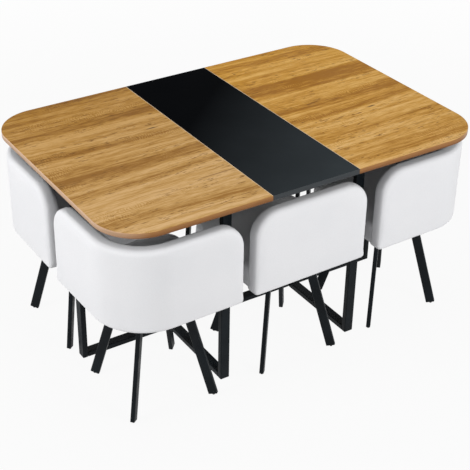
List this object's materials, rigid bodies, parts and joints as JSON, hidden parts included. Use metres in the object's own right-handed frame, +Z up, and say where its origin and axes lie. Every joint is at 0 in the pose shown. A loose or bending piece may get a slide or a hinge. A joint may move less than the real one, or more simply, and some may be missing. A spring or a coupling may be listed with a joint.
{
  "type": "dining table and chairs set",
  "caption": "Space-saving dining set: a rectangular table on a steel tube base with low upholstered chairs that tuck in under its top.",
  "frame": {"origin": "on the floor under the middle of the table", "axes": "+X along the table to the right, +Z up, and the side seen first in the picture looks along -Y"},
  "size_m": [1.4738, 0.9758, 0.749],
  "materials": {
    "wood_print": "satin wood-grain print on board, brown at its edge band",
    "black_board": "plain black laminate, satin",
    "black_steel": "black powder coat, fine texture, satin",
    "white_leatherette": "smooth white leatherette, soft sheen",
    "plywood": "bare plywood, not varnished"
  },
  "bodies": {
    "table": {"table_top_left": "wood_print", "table_top_strip": "black_board", "table_top_right": "wood_print", "end_post_left": "black_steel", "end_post_right": "black_steel", "cross_post_front_left": "black_steel", "cross_post_rear_left": "black_steel", "cross_floor_rail_left": "black_steel", "cross_top_rail_left": "black_steel", "long_floor_rail_left": "black_steel", "long_top_rail_left": "black_steel", "cross_post_front_right": "black_steel", "cross_post_rear_right": "black_steel", "cross_floor_rail_right": "black_steel", "cross_top_rail_right": "black_steel", "long_floor_rail_right": "black_steel", "long_top_rail_right": "black_steel", "long_floor_rail_middle": "black_steel"},
    "chair_front_left": {"chair_front_left_back": "white_leatherette", "chair_front_left_cushion": "white_leatherette", "chair_front_left_seat_board": "plywood", "chair_front_left_leg_a": "black_steel", "chair_front_left_leg_b": "black_steel", "chair_front_left_leg_c": "black_steel", "chair_front_left_leg_d": "black_steel"},
    "chair_front_middle": {"chair_front_middle_back": "white_leatherette", "chair_front_middle_cushion": "white_leatherette", "chair_front_middle_seat_board": "plywood", "chair_front_middle_leg_a": "black_steel", "chair_front_middle_leg_b": "black_steel", "chair_front_middle_leg_c": "black_steel", "chair_front_middle_leg_d": "black_steel"},
    "chair_front_right": {"chair_front_right_back": "white_leatherette", "chair_front_right_cushion": "white_leatherette", "chair_front_right_seat_board": "plywood", "chair_front_right_leg_a": "black_steel", "chair_front_right_leg_b": "black_steel", "chair_front_right_leg_c": "black_steel", "chair_front_right_leg_d": "black_steel"},
    "chair_rear_right": {"chair_rear_right_back": "white_leatherette", "chair_rear_right_cushion": "white_leatherette", "chair_rear_right_seat_board": "plywood", "chair_rear_right_leg_a": "black_steel", "chair_rear_right_leg_b": "black_steel", "chair_rear_right_leg_c": "black_steel", "chair_rear_right_leg_d": "black_steel"},
    "chair_rear_middle": {"chair_rear_middle_back": "white_leatherette", "chair_rear_middle_cushion": "white_leatherette", "chair_rear_middle_seat_board": "plywood", "chair_rear_middle_leg_a": "black_steel", "chair_rear_middle_leg_b": "black_steel", "chair_rear_middle_leg_c": "black_steel", "chair_rear_middle_leg_d": "black_steel"},
    "chair_rear_left": {"chair_rear_left_back": "white_leatherette", "chair_rear_left_cushion": "white_leatherette", "chair_rear_left_seat_board": "plywood", "chair_rear_left_leg_a": "black_steel", "chair_rear_left_leg_b": "black_steel", "chair_rear_left_leg_c": "black_steel", "chair_rear_left_leg_d": "black_steel"}
  },
  "joints": [
    {"name": "chair_front_left_slide", "type": "slide", "parent": "table", "child": "chair_front_left", "axis": [-0.7071, -0.7071, 0], "range_m": [0, 0.45]},
    {"name": "chair_front_middle_slide", "type": "slide", "parent": "table", "child": "chair_front_middle", "axis": [0, -1, 0], "range_m": [0, 0.45]},
    {"name": "chair_front_right_slide", "type": "slide", "parent": "table", "child": "chair_front_right", "axis": [0.7071, -0.7071, 0], "range_m": [0, 0.45]},
    {"name": "chair_rear_right_slide", "type": "slide", "parent": "table", "child": "chair_rear_right", "axis": [0.7071, 0.7071, 0], "range_m": [0, 0.45]},
    {"name": "chair_rear_middle_slide", "type": "slide", "parent": "table", "child": "chair_rear_middle", "axis": [0, 1, 0], "range_m": [0, 0.45]},
    {"name": "chair_rear_left_slide", "type": "slide", "parent": "table", "child": "chair_rear_left", "axis": [-0.7071, 0.7071, 0], "range_m": [0, 0.45]}
  ]
}
